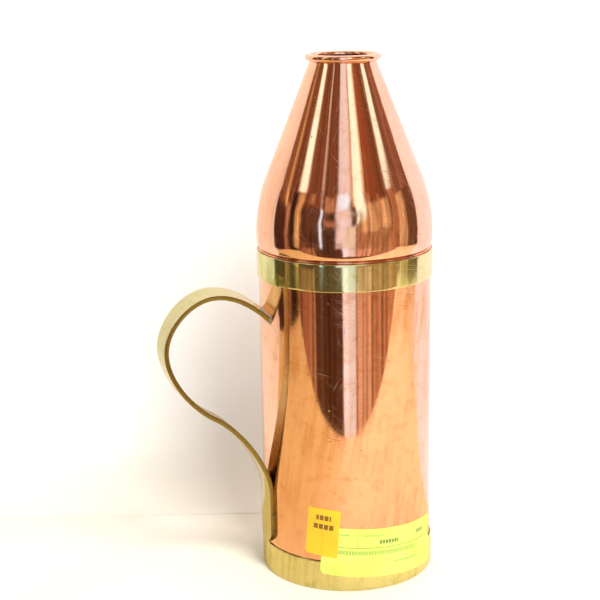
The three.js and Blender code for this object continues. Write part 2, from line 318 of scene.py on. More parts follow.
def new_material(name):
    """An empty material: returns it, its tree, and its Principled shader joined to the output."""
    material = bpy.data.materials.new(name)
    material.use_nodes = True
    tree = material.node_tree
    tree.nodes.clear()
    output = node(tree, "OutputMaterial")
    shader = node(tree, "BsdfPrincipled")
    tree.links.new(shader.outputs[0], output.inputs[0])
    return material, tree, shader


def mix_into_output(tree, share, shader, other):
    """Joins the material's output to a mixture of its shader and another one."""
    mixed = node(tree, "MixShader", {0: share, 1: shader.outputs[0], 2: other.outputs[0]})
    output = next(n for n in tree.nodes if n.type == "OUTPUT_MATERIAL")
    tree.links.new(mixed.outputs[0], output.inputs[0])


def ray(tree, kind):
    """1 for rays of one kind, such as "Camera" or "Glossy", and 0 for the others."""
    return node(tree, "LightPath").outputs["Is " + kind + " Ray"]


def facing_camera(tree, vector):
    """A vector turned so that its first axis runs to the camera's right."""
    return node(tree, "VectorRotate", {"Vector": vector, "Angle": math.radians(-CAMERA_YAW)},
                rotation_type="Z_AXIS").outputs[0]


def feed(tree, shader, colour, roughness, normal, metallic=1.0):
    """Joins a Principled shader's inputs to what sets them."""
    for name, source in (("Base Color", colour), ("Roughness", roughness), ("Normal", normal)):
        tree.links.new(source, shader.inputs[name])
    shader.inputs["Metallic"].default_value = metallic


def surface_vectors(tree):
    """Two vectors in metres: the place in the part's frame, and the surface unrolled to (round, up)."""
    place = node(tree, "TexCoord").outputs["Object"]
    parts = node(tree, "SeparateXYZ", {0: place})
    angle = calc(tree, "ARCTAN2", parts.outputs[1], parts.outputs[0])
    around = product(tree, angle, BODY_R)
    unrolled = node(tree, "CombineXYZ", {0: around, 1: parts.outputs[2]}).outputs[0]
    return place, unrolled


def fine_lines(tree, unrolled, turn, sparse):
    """Hairline scratches that run across the surface at an angle, as 0 to 1."""
    streaks = noise(tree, stretched(tree, unrolled, (30, 2600, 1), turn), 1.0, 2.0)
    patches = noise(tree, stretched(tree, unrolled, (40, 90, 1), turn + 20), 1.0, 2.0)
    lines = between(tree, streaks, sparse, sparse + 0.12)
    return product(tree, lines, between(tree, patches, 0.45, 0.7))


TARNISH_AND_SHADE = (0.42, 0.32, 0.11)      # how much of the worn colour is kept where a surface is darkened: unpolished edges, and painted shade


def polished(name, clean, worn, roughness, cloud, haze, haze_tint, seed):
    """Hand-polished sheet metal: clean and worn colours, smears, hairlines and a few pits. A share
    of the light, haze, scatters widely and is tinted. Marked vertices are darker and rougher: unpolished
    metal, and painted shade."""
    material, tree, shader = new_material(name)
    place, unrolled = surface_vectors(tree)
    moved = node(tree, "VectorMath", {0: place, 1: (seed, seed * 0.7, seed * 1.3)}, operation="ADD")
    moved = moved.outputs[0]
    broad = noise(tree, moved, 22.0, 4.0)
    mottle = noise(tree, moved, 150.0, 6.0, 0.65)
    smears = noise(tree, stretched(tree, unrolled, (260, 22, 1), 8), 1.0, 5.0, 0.6)
    lines = fine_lines(tree, unrolled, 12, 0.60)
    for turn in (-64, 38, 88):
        lines = calc(tree, "MAXIMUM", lines, fine_lines(tree, unrolled, turn, 0.64))
    wear = product(tree, between(tree, broad, 0.35, 0.7), between(tree, smears, 0.35, 0.7))
    wear = calc(tree, "ADD", wear, product(tree, between(tree, mottle, 0.48, 0.75), 0.7))
    wear = product(tree, wear, cloud)
    colour = blend(tree, wear, clean, worn)
    rough = calc(tree, "MULTIPLY_ADD", between(tree, smears, 0.4, 0.8), 0.05, roughness)
    rough = calc(tree, "MULTIPLY_ADD", between(tree, mottle, 0.55, 0.8), 0.06, rough)
    cells = node(tree, "TexVoronoi", {"Vector": moved, "Scale": 190.0})
    chosen = node(tree, "SeparateColor", {0: cells.outputs["Color"]}).outputs[0]
    cores = between(tree, cells.outputs["Distance"], 0.05, 0.12, 1.0, 0.0)
    pits = product(tree, calc(tree, "GREATER_THAN", chosen, 0.82), cores)
    height = calc(tree, "MULTIPLY_ADD", mottle, 0.8, product(tree, lines, -1.0))
    height = calc(tree, "SUBTRACT", height, product(tree, pits, 2.0))
    height = calc(tree, "MULTIPLY_ADD", noise(tree, moved, 800.0, 3.0), 0.35, height)
    bump = node(tree, "Bump", {"Height": height, "Strength": 0.35, "Distance": 0.00003}).outputs[0]
    # where the mesh marks it, the colour is darkened and the surface roughened: unpolished metal, and
    # painted shade on the strap's inner face
    dull_and_shade = node(tree, "Attribute", attribute_name="dull_and_shade").outputs["Fac"]
    darkened_colour = tuple(c * f for c, f in zip(worn, TARNISH_AND_SHADE))
    colour = blend(tree, product(tree, dull_and_shade, 0.9), colour, darkened_colour)
    rough = calc(tree, "MULTIPLY_ADD", dull_and_shade, 0.14, rough)
    hazy = times(tree, colour, haze_tint)
    scatter = node(tree, "BsdfGlossy", {"Color": hazy, "Roughness": 0.45, "Normal": bump})
    share = calc(tree, "MULTIPLY_ADD", calc(tree, "MAXIMUM", lines, pits), 0.45, haze)
    share = calc(tree, "MULTIPLY_ADD", between(tree, broad, 0.4, 0.7), haze * 0.6, share)
    mix_into_output(tree, share, shader, scatter)
    feed(tree, shader, colour, rough, bump)
    return material


def dull_metal(name, colour, dark, roughness, grain, bump_height):
    """Unpolished metal such as solder or a vessel's inside."""
    material, tree, shader = new_material(name)
    place = node(tree, "TexCoord").outputs["Object"]
    coarse = noise(tree, place, grain, 5.0, 0.6)
    fine = noise(tree, place, grain * 7, 4.0)
    mottled = blend(tree, between(tree, coarse, 0.3, 0.7), colour, dark)
    rough = between(tree, fine, 0.3, 0.75, roughness - 0.08, roughness + 0.12)
    height = calc(tree, "ADD", coarse, product(tree, fine, 0.3))
    bump = node(tree, "Bump", {"Height": height, "Strength": 0.5, "Distance": bump_height})
    feed(tree, shader, mottled, rough, bump.outputs[0])
    return material


def paper(name, colour, faded, bars, ink):
    """Label stock, printed with ruled lines and rows of blank blocks only. Each bar is (left, right,
    bottom, top, strength, blocks per millimetre), in millimetres from the middle of the label."""
    material, tree, shader = new_material(name)
    spot = node(tree, "SeparateXYZ", {0: node(tree, "UVMap", uv_map="paper").outputs[0]})
    place = node(tree, "TexCoord").outputs["Object"]
    printed = 0.0
    for left, right, bottom, top, strength, pitch in bars:
        mark = strength
        for value, low, high in ((spot.outputs[0], left, right), (spot.outputs[1], bottom, top)):
            mark = product(tree, mark, inside(tree, value, low, high, 0.1))
        if pitch:
            step = calc(tree, "FRACT", product(tree, spot.outputs[0], pitch))
            mark = product(tree, mark, between(tree, step, 0.14, 0.24))
        printed = calc(tree, "MAXIMUM", printed, mark)
    fibres = noise(tree, place, 900.0, 5.0, 0.7)
    broad = noise(tree, place, 60.0, 2.0)
    stock = blend(tree, between(tree, broad, 0.3, 0.7), colour, faded)
    printed = product(tree, printed, between(tree, fibres, 0.25, 0.5, 0.75, 0.95))
    inked = blend(tree, printed, stock, ink)
    bump = node(tree, "Bump", {"Height": fibres, "Strength": 0.35, "Distance": 0.00003})
    rough = between(tree, fibres, 0.3, 0.7, 0.5, 0.68)
    feed(tree, shader, inked, rough, bump.outputs[0], metallic=0.0)
    return material


NEUTRAL = (1.0, 1.0, 1.0)
OLIVE = (0.88, 1.0, 0.62)
# Clean and worn colour, roughness, cloudiness, haze and its tint, and a seed.
COPPER = polished("polished_copper", (0.95, 0.60, 0.43), (0.77, 0.40, 0.22), 0.05, 1.0, 0.015, NEUTRAL, 0.0)
CONE_COPPER = polished("spun_copper", (0.955, 0.60, 0.44), (0.82, 0.40, 0.25),
                       0.06, 0.6, 0.02, NEUTRAL, 3.0)
BRASS = polished("cloudy_brass", (0.84, 0.83, 0.50), (0.54, 0.57, 0.23), 0.06, 0.9, 0.14, OLIVE, 7.0)
STRAP_BRASS = polished("strap_brass", (0.69, 0.67, 0.42), (0.55, 0.52, 0.25), 0.12, 0.7, 0.10, OLIVE, 11.0)
# Colour, darker colour, roughness, grain and the height of its relief in metres.
INNER_COPPER = dull_metal("dull_copper", (0.62, 0.30, 0.17), (0.36, 0.15, 0.08), 0.34, 60.0, 0.00005)
SOLDER = dull_metal("soft_solder", (0.62, 0.62, 0.61), (0.36, 0.35, 0.33), 0.38, 500.0, 0.0002)
# darker solder for the tab's line: partly flux residue, partly painted shade of the narrow gap at the tab's
# edge
DARK_SOLDER_AND_SHADE = dull_metal("tarnished_and_shaded_solder", (0.26, 0.22, 0.15), (0.12, 0.09, 0.06), 0.42, 500.0, 0.0002)
WIRE = dull_metal("rim_wire", (0.50, 0.48, 0.45), (0.28, 0.24, 0.20), 0.36, 300.0, 0.00005)


# ---- the vessel ----


def build_body():
    outline = chain(
        line((BORE_R, 0), (BODY_R, 0)),
        line((BODY_R, 0), (BODY_R, BODY_TOP), 110),
        line((BODY_R, BODY_TOP), (BORE_R, BODY_TOP)),
        line((BORE_R, BODY_TOP), (BORE_R, 0), 12)[:-1],
    )
    relief = together(waves(1, 0.05 * MM, 5, 90 * MM), waves(2, 0.012 * MM, 14, 40 * MM))
    piece(turned("body_tube_shell", outline, relief), "vessel", "copper_body", COPPER, "body_tube")


def band_outline(low, high):
    inner = BODY_R + CLEARANCE
    edge = 0.42 * MM
    return chain(
        line((inner, low), (BAND_R - edge, low)),
        arc((BAND_R - edge, low + edge), edge, -90, 0, 6),
        line((BAND_R, low + edge), (BAND_R, high - edge), 16),
        arc((BAND_R - edge, high - edge), edge, 0, 90, 6),
        line((BAND_R - edge, high), (inner + 0.3 * MM, high)),
        line((inner, high - 0.5 * MM), (inner, low))[:-1],
    )


def build_bands():
    outline = band_outline(0, BASE_TOP)
    relief = waves(3, 0.03 * MM, 9, 60 * MM)
    piece(turned("base_band_hoop", outline, relief), "vessel", "brass_band", BRASS, "base_band")
    outline = band_outline(COLLAR_LOW, COLLAR_TOP)
    relief = together(
        waves(4, 0.04 * MM, 9, 40 * MM),
        dent(-138, COLLAR_TOP, 3 * MM, 0.9 * MM, 0.35 * MM),
        dent(-161, COLLAR_LOW, 2.2 * MM, 1.2 * MM, -0.3 * MM),
    )
    piece(turned("collar_band_hoop", outline, relief), "vessel", "brass_band", BRASS, "collar_band")


def build_floor_pan():
    corner = 2.4 * MM
    centre = (PAN_R - corner, corner)
    outline = chain(
        line((0, 0), (PAN_R - corner, 0), 14),
        arc(centre, corner, -90, 0, 8),
        line((PAN_R, corner), (PAN_R, PAN_TOP), 4),
        line((PAN_R, PAN_TOP), (PAN_R - PAN_SHEET, PAN_TOP)),
        arc(centre, corner - PAN_SHEET, 0, -90, 8),
        line((PAN_R - corner, PAN_SHEET), (0, PAN_SHEET), 14),
    )
    piece(turned("floor_pan_disc", outline), "vessel", "copper_inside", INNER_COPPER, "floor_pan")


def fillet(name, wall, foot, leg_out, leg_up, body, cad_node, inward=True):
    """A hollow fillet of solder in the corner of a wall and a ledge."""
    side = -1 if inward else 1
    outline = chain(
        line((wall, foot), (wall, foot + leg_up)),
        bezier((wall, foot + leg_up), (wall + side * leg_out * 0.25, foot + leg_up * 0.4),
               (wall + side * leg_out * 0.5, foot + leg_up * 0.12), (wall + side * leg_out, foot), 9),
    )
    relief = waves(6, 0.06 * MM, 24, 9 * MM)
    made = turned(name, outline, relief)
    piece(made, body, "solder", SOLDER, cad_node)


# ---- the handle ----
ROOT_WAY = heading(43)            # the way the strap leaves the body


def strap_line():
    """The strap's centreline as (distance from the axis, height) from its root on the body to the
    tip of its tab, with the width and the twist at each point."""
    tab_r = BODY_R - CLEARANCE + STRAP_THICK / 2
    far = -STRAP_LOW.x - STRAP_THICK / 2
    high = STRAP_HIGH.z - 2.3 * MM
    tip_z = STRAP_LOW.z + TAB_WIDTH / 2
    # The places where its stretches meet, measured in from far and down from high.
    top = (far - 28.15 * MM, high)
    outermost = (far, high - 28.6 * MM)
    waist = (far - 26.17 * MM, high - 68.55 * MM)
    landing = (tab_r, high - 116.95 * MM)
    leave = np.array([far - 55.89 * MM, high - 13.0 * MM])
    down = heading(-149.6)            # its way through the waist
    root = leave - ROOT_WAY * 2.0 * MM
    points = chain(
        line(root, leave, 3),
        bezier(leave, leave + ROOT_WAY * 9.6 * MM, (top[0] - 11.4 * MM, high), top, 22),
        bezier(top, (top[0] + 14.6 * MM, high), (far, outermost[1] + 13.3 * MM), outermost, 28),
        bezier(outermost, (far, outermost[1] - 15.8 * MM), waist - down * 13.54 * MM, waist, 26),
        bezier(waist, waist + down * 15.57 * MM, (tab_r, landing[1] + 17.54 * MM), landing, 28),
        line(landing, (tab_r, tip_z), 12),
    )
    run = run_along(points)
    share = run / run[-1]
    width = np.interp(share, [0, 0.4, 1], [ROOT_WIDTH, 12.4 * MM, TAB_WIDTH])
    twist = STRAP_TWIST * (1 - smooth(share, 0.2, 0.45))
    turn = np.linspace(0, math.radians(86), 14)[1:]
    tip = np.stack([np.full(len(turn), tab_r), tip_z - np.sin(turn) * TAB_WIDTH / 2], -1)
    return (np.concatenate([points, tip]), np.concatenate([width, np.cos(turn) * TAB_WIDTH]),
            np.concatenate([twist, np.zeros(len(turn))]))


def strap_section(wide, rounding):
    """The strap's rounded section as (across, off) points, from the outer face round to the inner."""
    ring = []
    for quarter, (side, face) in enumerate(((1, 1), (-1, 1), (-1, -1), (1, -1))):
        for turn in np.radians(np.linspace(0, 90, 5) + 90 * quarter):
            ring.append((side * (wide / 2 - rounding) + rounding * math.cos(turn),
                         face * (STRAP_THICK / 2 - rounding) + rounding * math.sin(turn)))
        if quarter in (0, 2):
            reach = wide / 2 - rounding
            for t in np.linspace(1, -1, 9)[1:-1]:
                ring.append((side * reach * t, face * STRAP_THICK / 2))
    return np.array(ring)


def place_on_strap(spot, normal, across, off, twist, hug):
    """The place at (across, off) in the strap's section, which curves round the body by hug."""
    side = across * math.cos(twist) - off * math.sin(twist)
    rise = across * math.sin(twist) + off * math.cos(twist)
    away = spot[0] + normal[0] * rise
    high = spot[1] + normal[1] * rise
    turn = math.pi - side / away
    flat = np.array([-away, side, high])
    return flat + (polar(away, turn, high) - flat) * hug


def on_body(across, off, radius):
    """The place where the line at (across, off) along the strap's straight root meets a radius."""
    spot = strap_line()[0][1]
    normal = np.array([-ROOT_WAY[1], ROOT_WAY[0]])
    rise = across * math.sin(STRAP_TWIST) + off * math.cos(STRAP_TWIST)
    back = (spot[0] + normal[0] * rise - radius) / ROOT_WAY[0]
    return place_on_strap(spot - ROOT_WAY * back, normal, across, off, STRAP_TWIST, 1.0)


def build_strap():
    points, width, twist = strap_line()
    normals = left_normals(points)
    wear = np.random.default_rng(21).uniform(0, 2 * math.pi, 6)
    rings = []
    for i, (spot, normal, wide, lean) in enumerate(zip(points, normals, width, twist)):
        edge = min(STRAP_EDGE, wide / 2.2)
        near_root = 1 - smooth(spot[0], BODY_R, 60 * MM)
        near_tab = 1 - smooth(spot[1], 47 * MM, 72 * MM)
        hug = near_root if spot[1] > 100 * MM else near_tab
        uneven = sum(math.sin(i * (0.31 + 0.17 * k) + wear[k]) for k in range(6)) / 6
        section = strap_section(wide * (1 + 0.008 * uneven), edge)
        if i == 0:
            ring = [on_body(across, off, BODY_R - 0.3 * MM) for across, off in section]
        else:
            ring = [place_on_strap(spot, normal, across, off, lean, hug) for across, off in section]
        rings.append(ring)
    count = len(rings[0])
    faces = grid_faces(len(points), count, False, True)
    faces.append(tuple(range(count)))
    last = (len(points) - 1) * count
    faces.append(tuple(last + i for i in reversed(range(count))))
    # the strap's edges are darkened all along, and its inner face carries painted shade in the crook
    level = section[:, 1] / (STRAP_THICK / 2)       # 1 on the outer face, -1 on the inner
    outer = smooth(level, 0.80, 0.98)
    inner = smooth(-level, 0.9, 0.99)
    inner_shade_lifted = 0.6 * smooth(points[:, 1], 62 * MM, 100 * MM)     # painted shade: the inner face is fully darkened low down in the crook, where it faces the body, and less higher up
    dull_and_shade = (1 - outer[None, :] - inner[None, :] * inner_shade_lifted[:, None]).ravel()
    made = make_object("handle_strap_bar", np.array(rings).reshape(-1, 3), faces, 60, dull_and_shade)
    piece(made, "vessel", "brass_strap", STRAP_BRASS, "handle_strap")


def bead(name, foot, outward, along_strap, legs, seed, open_ended=False):
    """A hollow-faced bead of solder in the corner between the body and the strap. foot is the path
    of the corner, outward and along_strap the two directions it spreads in at each point."""
    draw = np.random.default_rng(seed)
    phases = draw.uniform(0, 2 * math.pi, (2, 4))
    rings = []
    for i, (spot, out, up) in enumerate(zip(foot, outward, along_strap)):
        t = 2 * math.pi * i / len(foot)
        swell = [1 + 0.22 * sum(math.sin((k + 2) * t + phases[j][k]) for k in range(4)) for j in (0, 1)]
        reach, climb = max(0.35, swell[0]) * legs[0], max(0.35, swell[1]) * legs[1]
        if open_ended:
            fade = smooth(min(i, len(foot) - 1 - i) / 5, 0, 1)
            reach, climb = reach * (0.15 + 0.85 * fade), climb * (0.15 + 0.85 * fade)
        curve = bezier((reach, -0.05 * MM), (reach * 0.4, reach * 0.12), (climb * 0.12, climb * 0.4),
                       (-0.05 * MM, climb), 6)
        section = np.concatenate([curve, [(-0.25 * MM, climb * 0.9), (-0.25 * MM, -0.25 * MM),
                                          (reach * 0.9, -0.25 * MM)]])
        rings.append([spot + out * x + up * y for x, y in section])
    columns = len(rings[0])
    faces = grid_faces(len(rings), columns, not open_ended, True)
    if open_ended:
        faces.append(tuple(range(columns)))
        faces.append(tuple(reversed([(len(rings) - 1) * columns + j for j in range(columns)])))
    return make_object(name, np.array(rings).reshape(-1, 3), faces, 80)


def unroll(turn, away, rise):
    """The direction on the body's surface that goes round by one amount and up by another."""
    way = np.array([-math.sin(turn) * away, math.cos(turn) * away, rise])
    return way / np.linalg.norm(way)


def build_handle_solder():
    section = strap_section(ROOT_WIDTH, STRAP_EDGE)
    section = np.concatenate([section, section[:1]])
    run = run_along(section)
    spread = np.linspace(0, run[-1], 72, endpoint=False)
    ring = np.stack([np.interp(spread, run, section[:, k]) for k in (0, 1)], -1)
    foot = np.array([on_body(across, off, BODY_R) for across, off in ring])
    middle = foot.mean(0)
    outward, along_strap = [], []
    for spot in foot:
        turn = math.atan2(spot[1], spot[0])
        round_by = turn_between(math.atan2(middle[1], middle[0]), turn) * BODY_R
        outward.append(unroll(turn, round_by * 0.35, spot[2] - middle[2]))
        along_strap.append(polar(ROOT_WAY[0], turn, ROOT_WAY[1]))
    made = bead("handle_root_solder", foot, outward, along_strap, (1.0 * MM, 1.3 * MM), 31)
    piece(made, "vessel", "solder", SOLDER, "handle_top_solder")

    tip_z = STRAP_LOW.z + TAB_WIDTH / 2
    line_top = 40 * MM
    upright = line((-1, line_top), (-1, tip_z), 22)
    foot, outward, along_strap = [], [], []
    for side, level in upright:
        foot.append((side * TAB_WIDTH / 2, level, side, 0.0))
    for cosine, sine in arc((0, 0), 1, 180, 360, 24)[1:-1]:
        foot.append((cosine * TAB_WIDTH / 2, tip_z + sine * TAB_WIDTH / 2, cosine, sine))
    for side, level in upright[::-1]:
        foot.append((-side * TAB_WIDTH / 2, level, -side, 0.0))
    places = []
    for across, level, away, rise in foot:
        turn = math.pi - across / BODY_R
        places.append(polar(BODY_R, turn, level))
        outward.append(unroll(turn, -away, rise))
        along_strap.append(polar(1, turn, 0))
    legs = (0.45 * MM, 0.7 * MM)
    # the tab's solder line is darkened: residue, and painted shade of the gap beside the tab
    made = bead("handle_tab_solder_line", places, outward, along_strap, legs, 32, True)
    piece(made, "vessel", "solder", DARK_SOLDER_AND_SHADE, "handle_tab_solder")


# ---- the top ----


def cone_wall():
    """The outer face of the cone's sheet, from its turned-in hem up and round the rolled rim."""
    curl = CONE_TOP - WIRE_CENTRE[1] - CONE_SHEET
    hem_centre = (CONE_R - 2.94 * MM, CONE_LOW + 2.17 * MM)
    hem = arc(hem_centre, 2.4 * MM, -65, -14, 12)
    widest = (CONE_R, hem_centre[1] + 8.1 * MM)
    reach = 3.2 * MM
    skirt = bezier(hem[-1], hem[-1] + heading(76) * reach, (CONE_R, widest[1] - reach), widest, 16)
    neck_low = (WIRE_CENTRE[0] - 0.15 * MM, WIRE_CENTRE[1] - 3.6 * MM)
    narrowing = 5.16 * MM
    flank_low = (CONE_R - narrowing, widest[1] + 27.0 * MM)
    slope = (flank_low[0] - neck_low[0]) / (neck_low[1] - flank_low[1])
    corner = (CONE_R, flank_low[1] - narrowing / slope)
    shoulder = rounded(widest, corner, flank_low, 0.55, 40)
    neck_end = (WIRE_CENTRE[0] - curl, WIRE_CENTRE[1])
    bend = (neck_end[0], neck_low[1] + (neck_low[0] - neck_end[0]) / slope)
    neck = rounded(neck_low, bend, neck_end, 0.6, 9)
    roll = arc(WIRE_CENTRE, curl, 180, -110, 30)
    return chain(hem, skirt, shoulder, line(flank_low, neck_low, 50), neck, roll)


def build_cone():
    outline = sheet(cone_wall(), CONE_SHEET)
    dents = [
        (-152, 4, 5, 1.6, 0.08),      # angle, height above the hem, width, height, depth in mm
        (-145, 3, 4, 1.4, 0.07),
        (-137, 25, 7, 3, 0.14),
        (-121, 22, 10, 4, 0.18),
        (-109, 25, 6, 4, 0.12),
        (-104, 22, 16, 7, 0.12),
        (-88, 30, 9, 12, 0.10),
        (60, 34, 11, 9, 0.14),
    ]
    relief = together(
        waves(8, 0.05 * MM, 5, 80 * MM),
        waves(9, 0.015 * MM, 16, 30 * MM),
        *(dent(angle, CONE_LOW + up * MM, wide * MM, tall * MM, deep * MM)
          for angle, up, wide, tall, deep in dents),
    )
    piece(turned("cone_top_shell", outline, relief, 50), "top", "copper_cone", CONE_COPPER, "cone_top")


def build_rim_wire():
    outline = arc(WIRE_CENTRE, WIRE_R, 0, 360, 17)[:-1]
    piece(turned("rim_wire_ring", outline), "top", "rim_wire", WIRE, "rim_wire")


def build_spigot():
    """The ring that slides into the tube, with a stop bead on it and a narrower neck in the hem."""
    thick = 0.8 * MM
    edge = 0.4 * MM
    outer = BORE_R - 0.1 * MM
    low = SPIGOT_LOW.z
    high = SPIGOT_HIGH.z
    bead_r = 0.37 * MM
    bead_z = BODY_TOP + CLEARANCE + bead_r
    step_high = BODY_TOP + 0.4 * MM
    step_low = BODY_TOP - 1 * MM
    outline = chain(
        arc((outer - edge, low + edge), edge, -90, 0, 6),
        line((outer, low + edge), (outer, bead_z - bead_r), 8),
        arc((SPIGOT_HIGH.x - bead_r, bead_z), bead_r, -90, 90, 10),
        line((SPIGOT_NECK, bead_z + bead_r), (SPIGOT_NECK, high), 6),
        line((SPIGOT_NECK, high), (SPIGOT_NECK - thick, high)),
        line((SPIGOT_NECK - thick, high), (SPIGOT_NECK - thick, step_high), 4),
        line((SPIGOT_NECK - thick, step_high), (outer - thick, step_low), 3),
        line((outer - thick, step_low), (outer - thick, low), 6),
    )
    relief = waves(10, 0.01 * MM, 9, 40 * MM)
    made = turned("spigot_sleeve_ring", outline, relief)
    piece(made, "top", "copper_inside", CONE_COPPER, "spigot_sleeve")


# ---- papers ----
VIEW_SIDE = math.radians(-90 + CAMERA_YAW)   # the side of the vessel that faces the camera
PAPER_STEP = 0.6 * MM             # about how far apart a paper's vertices are


def paper_skin(height):
    """The radius of the surface under the papers, which bridge from the base band to the tube."""
    on_band = 1 - smooth(height, BASE_TOP + 0.6 * MM, BASE_TOP + 4.0 * MM)
    return BODY_R + (BAND_R - BODY_R) * on_band + 0.04 * MM


def build_paper(name, width, height, corner, angle, middle, tilt, lift, thickness=0.12 * MM):
    """A rounded rectangle of paper bent round the vessel. lift raises it off the surface under it,
    and is a function of the place on the paper."""
    rows = int(height / PAPER_STEP)
    even = np.linspace(-width / 2, width / 2, int(width / PAPER_STEP))
    inset = corner * (1 - np.cos(np.radians(np.linspace(0, 90, 7))))
    x = np.concatenate([-width / 2 + inset, even[np.abs(even) < width / 2 - corner],
                        width / 2 - inset[::-1]])
    into = np.maximum(0, np.abs(x) - (width / 2 - corner))
    half = height / 2 - corner + np.sqrt(np.maximum(0.02 * corner ** 2, corner ** 2 - into ** 2))
    v = np.linspace(-1, 1, rows)
    across = np.repeat(x[:, None], rows, 1)
    up = half[:, None] * v[None, :]
    turn = math.radians(-tilt)
    round_to = across * math.cos(turn) - up * math.sin(turn)
    level = middle + across * math.sin(turn) + up * math.cos(turn)
    theta = VIEW_SIDE + math.radians(angle) + round_to / BODY_R
    layers = []
    for skin in (0.0, thickness):
        radius = paper_skin(level) + lift(across, up, level, theta) + skin
        layers.append(polar(radius, theta, level).reshape(-1, 3))
    count = len(x) * rows
    front = grid_faces(len(x), rows, False, False)
    faces = [tuple(i + count for i in f) for f in front] + [tuple(reversed(f)) for f in front]
    rim = [i * rows for i in range(len(x))] + [(len(x) - 1) * rows + j for j in range(1, rows)]
    rim += [i * rows + rows - 1 for i in range(len(x) - 2, -1, -1)] + list(range(rows - 2, 0, -1))
    for a, b in zip(rim, rim[1:] + rim[:1]):
        faces.append((a, b, b + count, a + count))
    made = make_object(name, np.concatenate(layers), faces, 30)
    flat_map = made.data.uv_layers.new(name="paper")
    lookup = np.zeros(len(made.data.vertices) * 3)
    made.data.vertices.foreach_get("co", lookup)
    lookup = lookup.reshape(-1, 3)
    theta_at = np.arctan2(lookup[:, 1], lookup[:, 0])
    away = turn_between(VIEW_SIDE + math.radians(angle), theta_at) * BODY_R
    rise = lookup[:, 2] - middle
    flat = np.stack([away * math.cos(turn) + rise * math.sin(turn),
                     -away * math.sin(turn) + rise * math.cos(turn)], -1) / MM
    for loop in made.data.loops:
        flat_map.data[loop.index].uv = flat[loop.vertex_index]
    return made


def build_papers():
    label_bars = [
        (-36, 36, 2.45, 2.85, 0.9, 0),         # ruled lines
        (-17.8, -17.5, 2.6, 12, 0.8, 0),
        (19.6, 19.9, 2.6, 12, 0.8, 0),
        (-28, -22, 9.4, 10.6, 0.5, 0.9),       # small blocks
        (-15.5, -3, 9.2, 10.4, 0.5, 0.9),
        (-5.6, 6.7, 4.8, 7.0, 0.9, 0.55),      # large blocks
        (21, 28, 6.4, 8.6, 0.85, 0.45),
        (-30, 20, -1.5, 0.9, 0.55, 0.62),      # a long row and a short one
        (4, 22, -6.8, -5.2, 0.5, 0.7),
    ]
    sticker_bars = [(-4.2, 4.2, 7.0, 9.9, 0.95, 0.36), (-6.0, 6.0, 1.9, 4.8, 0.95, 0.34)]
    lime, pale_lime, green_ink = (0.71, 0.96, 0.13), (0.79, 0.98, 0.18), (0.10, 0.16, 0.05)
    amber, pale_amber, brown_ink = (0.95, 0.53, 0.02), (0.98, 0.60, 0.02), (0.16, 0.06, 0.01)
    label = paper("label_paper", lime, pale_lime, label_bars, green_ink)
    sticker = paper("sticker_paper", amber, pale_amber, sticker_bars, brown_ink)

    def label_lift(across, up, level, theta):
        """Slight ripples, and one corner that has come unstuck."""
        ripple = 0.05 * MM * (np.sin(across / (4.1 * MM)) * np.sin(up / (6.3 * MM) + 1) + 1)
        curl = np.clip((across - 29 * MM) / (8 * MM), 0, 1) ** 2 * np.clip((up - 4 * MM) / (9 * MM), 0, 1)
        return ripple + 0.5 * MM * curl

    def sticker_lift(across, up, level, theta):
        """Raised where the sticker lies over the label."""
        turn = turn_between(VIEW_SIDE + math.radians(label_place["angle"]), theta) * BODY_R
        tilt = math.radians(-label_place["tilt"])
        rise = level - label_place["middle"]
        along = turn * math.cos(tilt) + rise * math.sin(tilt)
        over = -turn * math.sin(tilt) + rise * math.cos(tilt)
        raised = smooth(along + label_place["width"] / 2, -0.9 * MM, 0.3 * MM)
        raised = raised * smooth(label_place["height"] / 2 - over, -0.9 * MM, 0.3 * MM)
        return 0.03 * MM + raised * 0.27 * MM

    label_place = {"width": 74 * MM, "height": 27.4 * MM, "corner": 3 * MM, "angle": 26,
                   "middle": 20.9 * MM, "tilt": 4.2}
    made = build_paper("stock_label_paper", **label_place, lift=label_lift)
    piece(made, "vessel", "label_paper", label, "stock_label")
    made = build_paper("lot_sticker_paper", width=18.4 * MM, height=27.4 * MM, corner=1.2 * MM,
                       angle=-18, middle=33.6 * MM, tilt=4.9, lift=sticker_lift)
    piece(made, "vessel", "sticker_paper", sticker, "lot_sticker")


# ---- the stage ----


PALE = (0.97, 0.97, 0.96)
DAYLIGHT = (0.50, 0.50, 0.495)
CEILING = (0.50, 0.42, 0.28)
WALL_LEFT = (0.98, 0.92, 0.80)
WALL_RIGHT = (1.02, 1.02, 1.06)
WINDOW = (1.05, 1.5, 2.1)
SHEER = (1.0, 0.98, 1.08)
LAMP = (1.30, 1.62, 1.45)
GLOW = (0.78, 0.56, 0.27)
TAN = (0.74, 0.52, 0.30)
RUST = (0.48, 0.26, 0.14)
BROWN = (0.21, 0.082, 0.036)
DUSK = (0.11, 0.05, 0.028)
NIGHT = (0.035, 0.016, 0.009)

